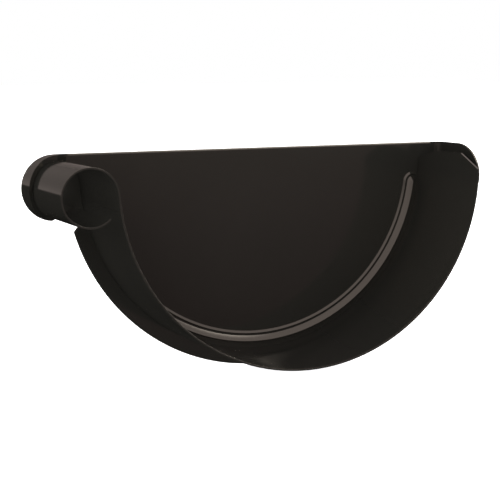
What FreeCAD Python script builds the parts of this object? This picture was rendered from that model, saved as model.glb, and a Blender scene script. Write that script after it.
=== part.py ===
import FreeCAD, Part
import math
import os

# Gutter end cap for a half-round gutter, stamped and folded from coated steel sheet.
# Frame: origin on the axis of the half-round, on the inner face of the end plate.
# +X towards the house (rear edge), -X towards the rolled front edge,
# -Y into the gutter, +Y out of the gutter's end, +Z up.  Millimetres.

# ---- driving dimensions -------------------------------------------------------
SHEET = 0.6            # sheet thickness
EDGE_R = 0.06          # its cut edges are a little rounded

WALL_R_IN = 62.7       # half-round skirt, inner radius (goes over a 125 mm gutter)
WALL_R_OUT = WALL_R_IN + SHEET
SKIRT_DEPTH = 39.5     # how far the skirt reaches along the gutter

TOP_Z = 6.34           # top edge of the end plate above the half-round's axis

TUBE_R_OUT = 9.3       # rolled bead tube at the front
TUBE_R_IN = TUBE_R_OUT - SHEET
TUBE_DIST = WALL_R_IN + TUBE_R_OUT   # tube axis to half-round axis, the curves run tangent
TUBE_DROP = 4.65       # tube axis below the half-round's axis
TUBE_END_ANG = 313.4   # where the curl's free edge stops

EAR_X, EAR_DROP = -71.76, 4.45       # centre of the rounded ear of the plate that closes the tube
EAR_R = TOP_Z + EAR_DROP             # its radius
EAR_END_ANG = 262.8    # where the ear's outline turns in under the tube
EAR_CORNER_R = 1.6     # with this corner radius
EAR_FOLD_R = 0.5       # rounding of the ear's fold on the outer side
SLEEVE_DEPTH = 9.5     # folded sleeve round the tube, deepest at the front

LIP_R = 68.3           # folded rim outside the half-round skirt
LIP_FOLD_R = SHEET     # the rim is two sheets thick with a rounded fold
LIP_A0, LIP_A1 = 195.7, 344.0        # the rim runs between these angles

HEM_W = 6.0            # top edge, folded back on the outer side
HEM_X0, HEM_X1 = -67.0, 68.0         # its ends

TONGUE_X = 72.1        # outer face of the rear tongue
TONGUE_BEND_R = 2.6    # its inner bend radius
TONGUE_Z0 = -14.3      # its lower edge
TONGUE_TIP_Y = -26.0   # its tip
TONGUE_ROUND = 13.9    # length of its rounded end

REAR_TOP_Z = 4.0       # top of the skirt at the rear
REAR_ROOT_Z = 0.9      # its height where it leaves the plate
REAR_SLOPE_Y = -12.7   # end of the rising edge
REAR_CHAMFER_Y = -28.6 # start of the lead-in slope
REAR_TIP_Z = -0.85     # height of the near corner

RIB_CX, RIB_CZ = -0.5, 1.15          # centre of the sealing rib's sweep
RIB_A0, RIB_A1 = 188.155, 351.845    # the rib, between its domed ends
RIB_FOOT_R = 59.62     # inner foot of the main bead
CREST_R, CREST_H = 61.4, 1.1         # its crest
SLOPE_SWELL = 0.03     # how much its long inner slope bulges
RIB_OUT_R = 61.75      # outer foot of the main bead
RIDGE_FOOT_R = 57.95   # small inner ridge
RIDGE_R, RIDGE_H = 58.75, 0.38       # its crest
RIDGE_OUT_R = 59.0     # its outer foot
# hollow pressed into the outer face behind the bead, as (radius, y)
RIB_BACK = [(59.75, SHEET), (60.4, 0.22), (61.0, -0.15), (61.2, -0.27), (61.3, SHEET)]


def v(x, y, z):
    return FreeCAD.Vector(x, y, z)


def polar(r, deg, y=0.0, cx=0.0, cz=0.0):
    a = math.radians(deg)
    return v(cx + r * math.cos(a), y, cz + r * math.sin(a))


def line(a, b):
    return Part.LineSegment(a, b).toShape()


def arc(r, d0, d1, y=0.0, cx=0.0, cz=0.0):
    return Part.Arc(polar(r, d0, y, cx, cz), polar(r, (d0 + d1) / 2.0, y, cx, cz),
                    polar(r, d1, y, cx, cz)).toShape()


def prism(edges, vec):
    return Part.Face(Part.Wire(edges)).extrude(vec)


def poly_prism(points, vec):
    return Part.Face(Part.makePolygon(points + [points[0]])).extrude(vec)


def turned(edges, d0, d1, cx=0.0, cz=0.0):
    """Turn a closed section, drawn as radius along X and depth along Y, from angle d0 to d1."""
    solid = Part.Face(Part.Wire(edges)).revolve(v(0, 0, 0), v(0, -1, 0), d1 - d0)
    solid.rotate(v(0, 0, 0), v(0, -1, 0), d0)
    solid.translate(v(cx, 0, cz))
    return solid


def outline(pairs):
    pts = [v(r, y, 0.0) for r, y in pairs]
    return [line(a, b) for a, b in zip(pts, pts[1:] + pts[:1])]


def eased(solid, keep, r=EDGE_R):
    """The solid with the edges that keep() picks rounded."""
    return solid.makeFillet(r, [e for e in solid.Edges if keep(e)])


def ends(e, test):
    return all(test(p.Point) for p in e.Vertexes)


# ---- layout -------------------------------------------------------------------
tube_ang = 180.0 + math.degrees(math.asin(TUBE_DROP / TUBE_DIST))
tube_axis = polar(TUBE_DIST, tube_ang)
TX, TZ = tube_axis.x, tube_axis.z
meet = tube_ang - 180.0     # direction from the tube's axis to the half-round's axis
EX, EZ = EAR_X, -EAR_DROP
IN = SHEET / 2.0            # the folded walls start inside the plate's thickness

# ---- half-round skirt with its rolled front bead: one bent strip ----------------
strip = prism([
    arc(TUBE_R_OUT, TUBE_END_ANG, meet, IN, TX, TZ),
    arc(WALL_R_IN, tube_ang, 360.0, IN),
    line(v(WALL_R_IN, IN, 0), v(WALL_R_IN, IN, REAR_TOP_Z)),
    line(v(WALL_R_IN, IN, REAR_TOP_Z), v(WALL_R_OUT, IN, REAR_TOP_Z)),
    line(v(WALL_R_OUT, IN, REAR_TOP_Z), v(WALL_R_OUT, IN, 0)),
    arc(WALL_R_OUT, 360.0, tube_ang, IN),
    arc(TUBE_R_IN, meet, TUBE_END_ANG, IN, TX, TZ),
    line(polar(TUBE_R_IN, TUBE_END_ANG, IN, TX, TZ),
         polar(TUBE_R_OUT, TUBE_END_ANG, IN, TX, TZ)),
], v(0, -SKIRT_DEPTH - IN, 0))

# rear top edge of the skirt: rises from the plate, runs level, slopes down to the near corner
x0, dx = WALL_R_IN - 3.0, 6.0
up = REAR_TOP_Z + 3.0
rise = (REAR_TOP_Z - REAR_ROOT_Z) / -REAR_SLOPE_Y
drop = (REAR_TOP_Z - REAR_TIP_Z) / (SKIRT_DEPTH + REAR_CHAMFER_Y)
strip = strip.cut(poly_prism([
    v(x0, 1.0, REAR_ROOT_Z - rise), v(x0, REAR_SLOPE_Y, REAR_TOP_Z),
    v(x0, REAR_SLOPE_Y, up), v(x0, 1.0, up)], v(dx, 0, 0)))
strip = strip.cut(poly_prism([
    v(x0, REAR_CHAMFER_Y, REAR_TOP_Z), v(x0, REAR_CHAMFER_Y, up),
    v(x0, -SKIRT_DEPTH - 1.0, up), v(x0, -SKIRT_DEPTH - 1.0, REAR_TIP_Z - drop)], v(dx, 0, 0)))

# its near end is rounded
strip = eased(strip, lambda e: e.Length > SHEET + 0.01 and ends(e, lambda p: abs(p.y + SKIRT_DEPTH) < 1e-4))

# ---- end plate ------------------------------------------------------------------
bend_x = TONGUE_X - SHEET - TONGUE_BEND_R      # the tongue's bend starts here
corner = polar(EAR_R - EAR_CORNER_R, EAR_END_ANG, 0, EX, EZ)
close_r = TUBE_R_OUT + 0.2                     # the plate closes the tube with a little to spare
notch = v(-62.6, 0, -15.7)                     # relief between the ear and the rim
plate_r = LIP_R - 2.0 * LIP_FOLD_R             # the rounded rim adds the rest
lip_start, lip_end = polar(plate_r, LIP_A0), polar(plate_r, LIP_A1)
plate = prism([
    line(v(bend_x, 0, TOP_Z), v(EX, 0, TOP_Z)),
    arc(EAR_R, 90.0, EAR_END_ANG, 0, EX, EZ),
    arc(EAR_CORNER_R, EAR_END_ANG, 340.0, 0, corner.x, corner.z),
    line(polar(EAR_CORNER_R, 340.0, 0, corner.x, corner.z), polar(close_r, 277.0, 0, TX, TZ)),
    arc(close_r, 277.0, 312.0, 0, TX, TZ),
    line(polar(close_r, 312.0, 0, TX, TZ), notch),
    line(notch, lip_start),
    arc(plate_r, LIP_A0, LIP_A1),
    line(lip_end, v(bend_x, 0, TONGUE_Z0)),
    line(v(bend_x, 0, TONGUE_Z0), v(bend_x, 0, TOP_Z)),
], v(0, SHEET, 0))

# ---- folded rim round the half-round: two sheets with a rounded fold -------------
root_r, fold_r = WALL_R_OUT - IN, LIP_R - LIP_FOLD_R
rim = turned([
    line(v(root_r, -SHEET, 0), v(fold_r, -SHEET, 0)),
    Part.Arc(v(fold_r, -SHEET, 0), v(LIP_R, 0, 0), v(fold_r, SHEET, 0)).toShape(),
    line(v(fold_r, SHEET, 0), v(root_r, SHEET, 0)),
    line(v(root_r, SHEET, 0), v(root_r, -SHEET, 0)),
], LIP_A0 - 3.5, LIP_A1)
# its front end is cut on the slant, in line with the relief
slant = lip_start - notch
rim = rim.cut(poly_prism([v(notch.x, -2, notch.z), v(notch.x, -2, notch.z) + slant * 3.0,
                          v(-76, -2, -10), v(-60, -2, -10)], v(0, 4, 0)))

# ---- top edge folded back on the outer side, with a rounded fold -----------------
hem_z = TOP_Z - SHEET
plate = plate.cut(Part.makeBox(HEM_X1 - HEM_X0, 3.0, 2.0, v(HEM_X0, -1.0, hem_z)))
hem = prism([
    line(v(HEM_X0, 0, hem_z - 0.3), v(HEM_X0, 0, hem_z)),
    Part.Arc(v(HEM_X0, 0, hem_z), v(HEM_X0, SHEET, TOP_Z), v(HEM_X0, 2 * SHEET, hem_z)).toShape(),
    line(v(HEM_X0, 2 * SHEET, hem_z), v(HEM_X0, 2 * SHEET, TOP_Z - HEM_W)),
    line(v(HEM_X0, 2 * SHEET, TOP_Z - HEM_W), v(HEM_X0, IN, TOP_Z - HEM_W)),
    line(v(HEM_X0, IN, TOP_Z - HEM_W), v(HEM_X0, IN, hem_z - 0.3)),
    line(v(HEM_X0, IN, hem_z - 0.3), v(HEM_X0, 0, hem_z - 0.3)),
], v(HEM_X1 - HEM_X0, 0, 0))
# its ends are mitred
for x, s in ((HEM_X0, 1.0), (HEM_X1, -1.0)):
    hem = hem.cut(poly_prism([v(x - s, SHEET, TOP_Z - HEM_W - 0.2), v(x + s * 5.0, SHEET, TOP_Z - HEM_W - 0.2),
                              v(x, SHEET, hem_z - 0.4), v(x - s, SHEET, hem_z - 0.4)], v(0, 2, 0)))

# ---- sealing rib: a rounded bead with a small ridge inside it ----------------------
def section(*parts):
    """Closed section from points (radius, y); three points in one part are an arc."""
    edges, first, last = [], None, None
    for p in parts:
        q = [v(r, y, 0.0) for r, y in p]
        if last is not None and last.distanceToPoint(q[0]) > 1e-6:
            edges.append(line(last, q[0]))
        if len(q) == 3:
            edges.append(Part.Arc(*q).toShape())
        first, last = first or q[0], q[-1]
    edges.append(line(last, first))
    return edges


run = math.hypot(CREST_R - RIB_FOOT_R, CREST_H)
mid = ((RIB_FOOT_R + CREST_R) / 2.0 - SLOPE_SWELL * CREST_H / run,
       -CREST_H / 2.0 - SLOPE_SWELL * (CREST_R - RIB_FOOT_R) / run)
ridge = [[(RIDGE_FOOT_R, IN)], [(RIDGE_FOOT_R, 0.0)],
         [(RIDGE_R - 0.1, -RIDGE_H + 0.045), (RIDGE_R - 0.01, -RIDGE_H + 0.015), (RIDGE_R + 0.08, -RIDGE_H + 0.045)],
         [(RIDGE_OUT_R, 0.0)], [(RIB_FOOT_R, 0.0)]]
slope = [[(RIB_FOOT_R, 0.0), mid, (CREST_R, -CREST_H)]]
fall = [[(CREST_R, -CREST_H)], [(RIB_OUT_R, 0.0)], [(RIB_OUT_R, IN)]]
rib = turned(section(*(ridge + slope + fall)), RIB_A0, RIB_A1, RIB_CX, RIB_CZ)
# domed ends: the inner half of the section turned about the crest's end, kept clear of the skirt
half = [[(CREST_R - r, y) for r, y in p] for p in ridge + slope] + [[(0.0, IN)]]
room = Part.makeCylinder(WALL_R_IN - 0.5, 6.0, v(0, 3.0, 0), v(0, -1, 0))
for ang, start in ((RIB_A1, RIB_A1), (RIB_A0, RIB_A0 - 180.0)):
    c = polar(CREST_R, ang, 0, RIB_CX, RIB_CZ)
    rib = rib.fuse(turned(section(*half), start, start + 180.0, c.x, c.z).common(room))
groove = turned(outline([(RIB_BACK[0][0], 2.0)] + RIB_BACK + [(RIB_BACK[-1][0], 2.0)]),
                RIB_A0 + 1.0, RIB_A1 - 1.0, RIB_CX, RIB_CZ)

# ---- sleeve folded round the tube's closed end -----------------------------------
ring = Part.makeCylinder(EAR_R, SLEEVE_DEPTH + IN, v(EX, IN, EZ), v(0, -1, 0))
ring = ring.cut(Part.makeCylinder(TUBE_R_OUT - IN, SLEEVE_DEPTH + 4.0, v(TX, IN + 1.0, TZ), v(0, -1, 0)))
ring = ring.common(poly_prism([
    v(EX - 12.0, 0.4, EZ - 14.0), v(EX - 12.0, -SLEEVE_DEPTH - 0.5, EZ - 14.0),
    v(EX - EAR_R, -SLEEVE_DEPTH, EZ - 14.0), v(EX - 5.4, -6.6, EZ - 14.0),
    v(EX, -4.7, EZ - 14.0), v(EX + 4.5, 0.4, EZ - 14.0)], v(0, 0, 28.0)))
sleeve = ring.common(poly_prism([
    v(EX - 14.0, 0.4, EZ + 12.0), v(EX - 14.0, -10.5, EZ + 12.0),
    v(EX - 14.0, -10.5, EZ - 7.7), v(EX - 14.0, 0.4, EZ - 10.35)], v(28.0, 0, 0)))

# the ear's fold is rounded on the outer side
k, y0 = EAR_R - EAR_FOLD_R, SHEET - EAR_FOLD_R
q = EAR_FOLD_R * math.sqrt(0.5)
fold = [
    Part.Arc(v(k, SHEET, 0), v(k + q, y0 + q, 0), v(EAR_R, y0, 0)).toShape(),
    line(v(EAR_R, y0, 0), v(EAR_R + 1.0, y0, 0)),
    line(v(EAR_R + 1.0, y0, 0), v(EAR_R + 1.0, SHEET + 1.0, 0)),
    line(v(EAR_R + 1.0, SHEET + 1.0, 0), v(k, SHEET + 1.0, 0)),
    line(v(k, SHEET + 1.0, 0), v(k, SHEET, 0)),
]
ear_fold = turned(fold, 90.0, 250.0, EX, EZ)

# ---- rear tongue: bent off the plate, with a rounded end --------------------------
bend = v(bend_x, -TONGUE_BEND_R, TONGUE_Z0)
r0, r1, q = TONGUE_BEND_R, TONGUE_BEND_R + SHEET, math.sqrt(0.5)
tip = TONGUE_TIP_Y - 1.0
tongue = prism([
    Part.Arc(bend + v(0, r0, 0), bend + v(r0 * q, r0 * q, 0), bend + v(r0, 0, 0)).toShape(),
    line(bend + v(r0, 0, 0), v(bend.x + r0, tip, bend.z)),
    line(v(bend.x + r0, tip, bend.z), v(bend.x + r1, tip, bend.z)),
    line(v(bend.x + r1, tip, bend.z), bend + v(r1, 0, 0)),
    Part.Arc(bend + v(r1, 0, 0), bend + v(r1 * q, r1 * q, 0), bend + v(0, r1, 0)).toShape(),
    line(bend + v(0, r1, 0), bend + v(-IN, r1, 0)),
    line(bend + v(-IN, r1, 0), bend + v(-IN, r0, 0)),
    line(bend + v(-IN, r0, 0), bend + v(0, r0, 0)),
], v(0, 0, TOP_Z - TONGUE_Z0))
mid_z, half_z = (TOP_Z + TONGUE_Z0) / 2.0, (TOP_Z - TONGUE_Z0) / 2.0
x0, yr = TONGUE_X - 6.0, TONGUE_TIP_Y + TONGUE_ROUND
c = v(x0, yr, mid_z)
oval = Part.Ellipse(c + v(0, -TONGUE_ROUND, 0), c + v(0, 0, half_z), c)
tongue = tongue.common(prism([
    Part.ArcOfEllipse(oval, -math.pi / 2.0, math.pi / 2.0).toShape(),
    line(c + v(0, 0, half_z), v(x0, 2.0, TOP_Z)),
    line(v(x0, 2.0, TOP_Z), v(x0, 2.0, TONGUE_Z0)),
    line(v(x0, 2.0, TONGUE_Z0), c + v(0, 0, -half_z)),
], v(8.0, 0, 0)))

tongue = eased(tongue, lambda e: e.Length > 5.0 and (
    ends(e, lambda p: abs(p.z - TOP_Z) < 1e-4) or ends(e, lambda p: abs(p.z - TONGUE_Z0) < 1e-4)
    or ends(e, lambda p: abs(p.y - yr) < 1e-4)))

# ---- one sheet --------------------------------------------------------------------
cap = plate.fuse([strip, rim, hem, rib, sleeve, tongue]).cut([groove, ear_fold]).removeSplitter()
solid = cap.Solids[0] if len(cap.Solids) == 1 else cap

box = solid.BoundBox
print("solids", len(cap.Solids), "valid", solid.isValid(), "volume mm3", round(solid.Volume, 1))
print("box x %.2f..%.2f y %.2f..%.2f z %.2f..%.2f" % (box.XMin, box.XMax, box.YMin, box.YMax, box.ZMin, box.ZMax))

os.makedirs("parts", exist_ok=True)
solid.exportStep("parts/end_cap.step")
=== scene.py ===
import math

import bpy
from mathutils import Matrix, Vector


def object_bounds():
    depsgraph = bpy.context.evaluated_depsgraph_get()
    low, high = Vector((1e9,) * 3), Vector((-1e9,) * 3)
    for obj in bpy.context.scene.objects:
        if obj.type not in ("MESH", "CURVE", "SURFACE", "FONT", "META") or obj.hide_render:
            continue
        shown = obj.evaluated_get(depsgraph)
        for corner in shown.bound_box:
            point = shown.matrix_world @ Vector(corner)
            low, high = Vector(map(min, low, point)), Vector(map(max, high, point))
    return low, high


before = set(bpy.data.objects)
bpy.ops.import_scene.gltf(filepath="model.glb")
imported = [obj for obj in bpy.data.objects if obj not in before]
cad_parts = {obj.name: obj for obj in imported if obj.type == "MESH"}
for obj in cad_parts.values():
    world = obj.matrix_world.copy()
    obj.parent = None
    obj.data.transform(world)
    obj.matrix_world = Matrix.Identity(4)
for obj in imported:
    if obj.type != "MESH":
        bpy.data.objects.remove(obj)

scene = bpy.context.scene
cad_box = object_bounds()
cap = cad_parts["end_cap"]


# ---- small node helpers -------------------------------------------------------
def add(tree, kind, x=0, y=0, **values):
    node = tree.nodes.new(kind)
    node.location = (x, y)
    for key, value in values.items():
        setattr(node, key, value)
    return node


def put(node, **values):
    for key, value in values.items():
        node.inputs[key.replace("_", " ")].default_value = value
    return node


# ---- finish: glossy dark brown coating, a little metallic, on steel sheet --------
def coated_steel():
    mat = bpy.data.materials.new("coated_steel_brown")
    mat.use_nodes = True
    t = mat.node_tree
    t.nodes.clear()
    out = add(t, "ShaderNodeOutputMaterial", 900, 0)
    bsdf = add(t, "ShaderNodeBsdfPrincipled", 600, 0)
    t.links.new(bsdf.outputs["BSDF"], out.inputs["Surface"])
    coord = add(t, "ShaderNodeTexCoord", -1100, 0)
    pos = coord.outputs["Object"]

    # colour: slow clouds in the coating and a fine grain
    cloud = put(add(t, "ShaderNodeTexNoise", -800, 300), Scale=30.0, Detail=3.0, Roughness=0.55)
    grain = put(add(t, "ShaderNodeTexNoise", -800, 80), Scale=2600.0, Detail=2.0, Roughness=0.6)
    for n in (cloud, grain):
        t.links.new(pos, n.inputs["Vector"])
    both = add(t, "ShaderNodeMath", -600, 220, operation="MULTIPLY_ADD")
    both.inputs[1].default_value = 0.3
    t.links.new(grain.outputs["Fac"], both.inputs[0])
    t.links.new(cloud.outputs["Fac"], both.inputs[2])
    ramp = add(t, "ShaderNodeValToRGB", -400, 220)
    ramp.color_ramp.elements[0].position = 0.42
    ramp.color_ramp.elements[0].color = (0.0605, 0.0575, 0.0498, 1)
    ramp.color_ramp.elements[1].position = 0.88
    ramp.color_ramp.elements[1].color = (0.0655, 0.0622, 0.0540, 1)
    t.links.new(both.outputs[0], ramp.inputs["Fac"])
    t.links.new(ramp.outputs["Color"], bsdf.inputs["Base Color"])

    # roughness: a little uneven, as a rolled coating is
    wipe = put(add(t, "ShaderNodeTexNoise", -800, -140), Scale=90.0, Detail=4.0, Roughness=0.6)
    t.links.new(pos, wipe.inputs["Vector"])
    rough = put(add(t, "ShaderNodeMapRange", -400, -120), From_Min=0.3, From_Max=0.7, To_Min=0.085, To_Max=0.115)
    t.links.new(wipe.outputs["Fac"], rough.inputs["Value"])
    t.links.new(rough.outputs["Result"], bsdf.inputs["Roughness"])

    # a faint orange peel
    peel = put(add(t, "ShaderNodeTexNoise", -800, -380), Scale=900.0, Detail=1.5, Roughness=0.5)
    t.links.new(pos, peel.inputs["Vector"])
    bump = put(add(t, "ShaderNodeBump", 200, -320), Strength=0.03, Distance=0.00002)
    t.links.new(peel.outputs["Fac"], bump.inputs["Height"])
    t.links.new(bump.outputs["Normal"], bsdf.inputs["Normal"])

    put(bsdf, IOR=1.5, Metallic=0.75, Specular_Tint=(0.12, 0.12, 0.12, 1))
    return mat


steel = coated_steel()
for i in range(len(cap.material_slots)):
    cap.material_slots[i].material = steel

# ---- floor: a lit white sheet -----------------------------------------------------
low = cad_box[0].z
bpy.ops.mesh.primitive_circle_add(vertices=96, radius=6.0, fill_type="NGON", location=(0, 0, low - 0.0004))
floor = bpy.context.object
floor.name = "floor"
pale = bpy.data.materials.new("pale_floor")
pale.use_nodes = True
put(pale.node_tree.nodes["Principled BSDF"], Base_Color=(0.92, 0.92, 0.92, 1), Roughness=0.9,
    Emission_Color=(1, 1, 1, 1), Emission_Strength=1.0)
floor.data.materials.append(pale)
floor.visible_glossy = False
floor.visible_diffuse = False
floor.visible_shadow = False

# ---- studio: a white tent; what the gloss mirrors is graded ----------------------------
world = bpy.data.worlds.new("studio")
scene.world = world
world.use_nodes = True
world.cycles.sampling_method = "NONE"
t = world.node_tree
t.nodes.clear()
out = add(t, "ShaderNodeOutputWorld", 1400)
coord = add(t, "ShaderNodeTexCoord", -1200)
xyz = add(t, "ShaderNodeSeparateXYZ", -1000)
t.links.new(coord.outputs["Generated"], xyz.inputs[0])


def spread(source, low, high, y):
    node = put(add(t, "ShaderNodeMapRange", -800, y), From_Min=low, From_Max=high, To_Min=0.0, To_Max=1.0)
    t.links.new(source, node.inputs["Value"])
    return node.outputs["Result"]


height = spread(xyz.outputs["Z"], -1.0, 1.0, 300)


def wall(stops, tint, y):
    """Light against height: stops are (height of the direction, -1 to 1, light), with a tint of their own or the wall's."""
    node = add(t, "ShaderNodeValToRGB", -500, y)
    ramp = node.color_ramp
    while len(ramp.elements) < len(stops):
        ramp.elements.new(0.5)
    for e, (z, light, *own) in zip(ramp.elements, stops):
        r, g, b = own[0] if own else tint
        e.position = (z + 1.0) / 2.0
        e.color = (light * r, light * g, light * b, 1)
    t.links.new(height, node.inputs["Fac"])
    return node.outputs["Color"]


def blend(factor, a, b, x, y):
    node = add(t, "ShaderNodeMix", x, y, data_type="RGBA")
    t.links.new(factor, node.inputs["Factor"])
    for socket, name in ((a, "A"), (b, "B")):
        if isinstance(socket, tuple):
            node.inputs[name].default_value = socket
        else:
            t.links.new(socket, node.inputs[name])
    return node.outputs["Result"]


warm = (1.16, 1.0, 1.0)
rosy = (1.6, 1.0, 1.1)
ground = [(-0.22, 0.0), (-0.2, 0.02, rosy), (-0.178, 0.085, rosy), (-0.13, 0.066, rosy), (-0.09, 0.1, rosy),
          (-0.06, 0.12, (1.4, 1.0, 0.95))]
front = wall(ground + [(-0.03, 0.2), (0.0, 0.42), (0.05, 0.62), (0.12, 1.05), (0.2, 1.2), (0.38, 1.3), (0.7, 1.35)], warm, 500)
left = wall([(-0.14, 0.0), (-0.1, 0.2), (-0.015, 0.25), (0.015, 1.2), (0.1, 1.28), (0.38, 1.3), (0.7, 1.2)], warm, 200)
right = wall(ground + [(0.0, 0.1), (0.3, 0.12), (0.42, 1.2), (0.7, 1.3)], warm, 800)
dusk = (1.2, 1.0, 0.92)
high = [(0.5, 1.2), (0.62, 4.3), (0.8, 4.4), (1.0, 1.2)]
back_left = wall([(-0.012, 0.0), (0.004, 1.35), (0.06, 1.1), (0.14, 0.9), (0.2, 0.85), (0.26, 0.85), (0.36, 0.85)] + high, dusk, -100)
back_right = wall([(-0.012, 0.0), (0.004, 0.3), (0.14, 0.3), (0.26, 0.45), (0.36, 0.55)] + high, dusk, -300)
back = blend(spread(xyz.outputs["X"], -0.05, 0.26, -400), back_left, back_right, -200, -200)
sides = blend(spread(xyz.outputs["X"], -0.35, -0.6, 0), front, left, -200, 300)
sides = blend(spread(xyz.outputs["X"], 0.53, 0.63, 400), sides, right, -100, 500)
tent = blend(spread(xyz.outputs["Y"], -0.1, 0.45, -200), sides, back, 0, 100)

# a softbox high on the right, with a straight lower edge and soft ends
az, el = math.radians(58.0), math.radians(43.0)
across = Vector((math.cos(az), math.sin(az), 0.0))
above = Vector((-math.sin(az) * math.sin(el), math.cos(az) * math.sin(el), math.cos(el)))


def edge(normal, low, high, y):
    aim = add(t, "ShaderNodeVectorMath", -1000, y, operation="DOT_PRODUCT")
    aim.inputs[1].default_value = normal
    t.links.new(coord.outputs["Generated"], aim.inputs[0])
    return spread(aim.outputs["Value"], math.sin(math.radians(low)), math.sin(math.radians(high)), y)


lower = edge(across * 0.616 + above * 0.788, -3.6, -1.0, -500)
end = edge(across * -0.788 + above * 0.616, 20.0, 10.0, -700)
start = edge(across * -0.788 + above * 0.616, -20.0, -14.0, -900)
box = add(t, "ShaderNodeMath", -500, -600, operation="MULTIPLY")
t.links.new(lower, box.inputs[0])
t.links.new(end, box.inputs[1])
spot = add(t, "ShaderNodeMath", -300, -600, operation="MULTIPLY")
t.links.new(box.outputs[0], spot.inputs[0])
t.links.new(start, spot.inputs[1])
facing = add(t, "ShaderNodeMath", -100, -600, operation="MULTIPLY")
t.links.new(spot.outputs[0], facing.inputs[0])
t.links.new(edge(Vector((math.sin(az) * math.cos(el), -math.cos(az) * math.cos(el), math.sin(el))), 40.0, 55.0, -1100), facing.inputs[1])
mirrored = blend(facing.outputs[0], tent, (7.2 * 1.08, 7.2, 7.0, 1), 200, 0)

gloss = add(t, "ShaderNodeBackground", 500, 100)
t.links.new(mirrored, gloss.inputs["Color"])
# matt light comes from the lamps below, not from this tent
even = put(add(t, "ShaderNodeBackground", 500, -100), Color=(0, 0, 0, 1), Strength=0.0)
white = put(add(t, "ShaderNodeBackground", 500, -300), Color=(1, 1, 1, 1), Strength=1.0)
path = add(t, "ShaderNodeLightPath", 500, 500)
first = add(t, "ShaderNodeMixShader", 900, 100)
t.links.new(path.outputs["Is Diffuse Ray"], first.inputs[0])
t.links.new(gloss.outputs[0], first.inputs[1])
t.links.new(even.outputs[0], first.inputs[2])
second = add(t, "ShaderNodeMixShader", 1150, 0)
t.links.new(path.outputs["Is Camera Ray"], second.inputs[0])
t.links.new(first.outputs[0], second.inputs[1])
t.links.new(white.outputs[0], second.inputs[2])
t.links.new(second.outputs[0], out.inputs["Surface"])


# ---- matt light: even from above, below and the left, and inside the tube ---------------------------
def lamp(name, kind, watts, place=(0, 0, 0), toward=None, **values):
    data = bpy.data.lights.new(name, kind)
    data.energy = watts
    for key, value in values.items():
        setattr(data, key, value)
    obj = bpy.data.objects.new(name, data)
    scene.collection.objects.link(obj)
    obj.location = place
    if toward is not None:
        obj.rotation_euler = Vector(toward).to_track_quat("-Z", "Y").to_euler()
    obj.visible_camera = False
    obj.visible_glossy = False
    return obj


lamp("even_above", "SUN", 1.04 * math.pi, toward=(0, 0, -1), angle=math.radians(180.0))
lamp("even_left", "SUN", 0.34 * math.pi, toward=(1, 0, -0.3), angle=math.radians(180.0))
lamp("even_below", "SUN", 1.07 * math.pi, toward=(0, 0, 1), angle=math.radians(180.0))
for i, y in enumerate((-0.006, -0.016, -0.026, -0.036)):
    lamp("tube_fill_%d" % i, "POINT", 0.0017, place=(-0.07185, y, -0.00465), shadow_soft_size=0.004)

# ---- camera at the photograph's viewing angle --------------------------------------
yaw, pitch, roll = math.radians(23.667), math.radians(7.438), math.radians(-0.408)
right = Vector((math.cos(yaw), -math.sin(yaw), 0.0))
ahead = Vector((math.sin(yaw) * math.cos(pitch), math.cos(yaw) * math.cos(pitch), -math.sin(pitch)))
upward = right.cross(ahead)
x_axis = right * math.cos(roll) + upward * math.sin(roll)
y_axis = upward * math.cos(roll) - right * math.sin(roll)
z_axis = -ahead
data = bpy.data.cameras.new("camera")
data.sensor_width = 36.0
data.lens = 1454.776 / 500.0 * 36.0
data.clip_start, data.clip_end = 0.01, 50.0
camera = bpy.data.objects.new("camera", data)
scene.collection.objects.link(camera)
pose = Matrix((x_axis, y_axis, z_axis)).transposed().to_4x4()
pose.translation = Vector((-0.20142, -0.45244, 0.03581))
camera.matrix_world = pose
scene.camera = camera

scene.view_settings.view_transform = "Standard"
scene.view_settings.look = "None"
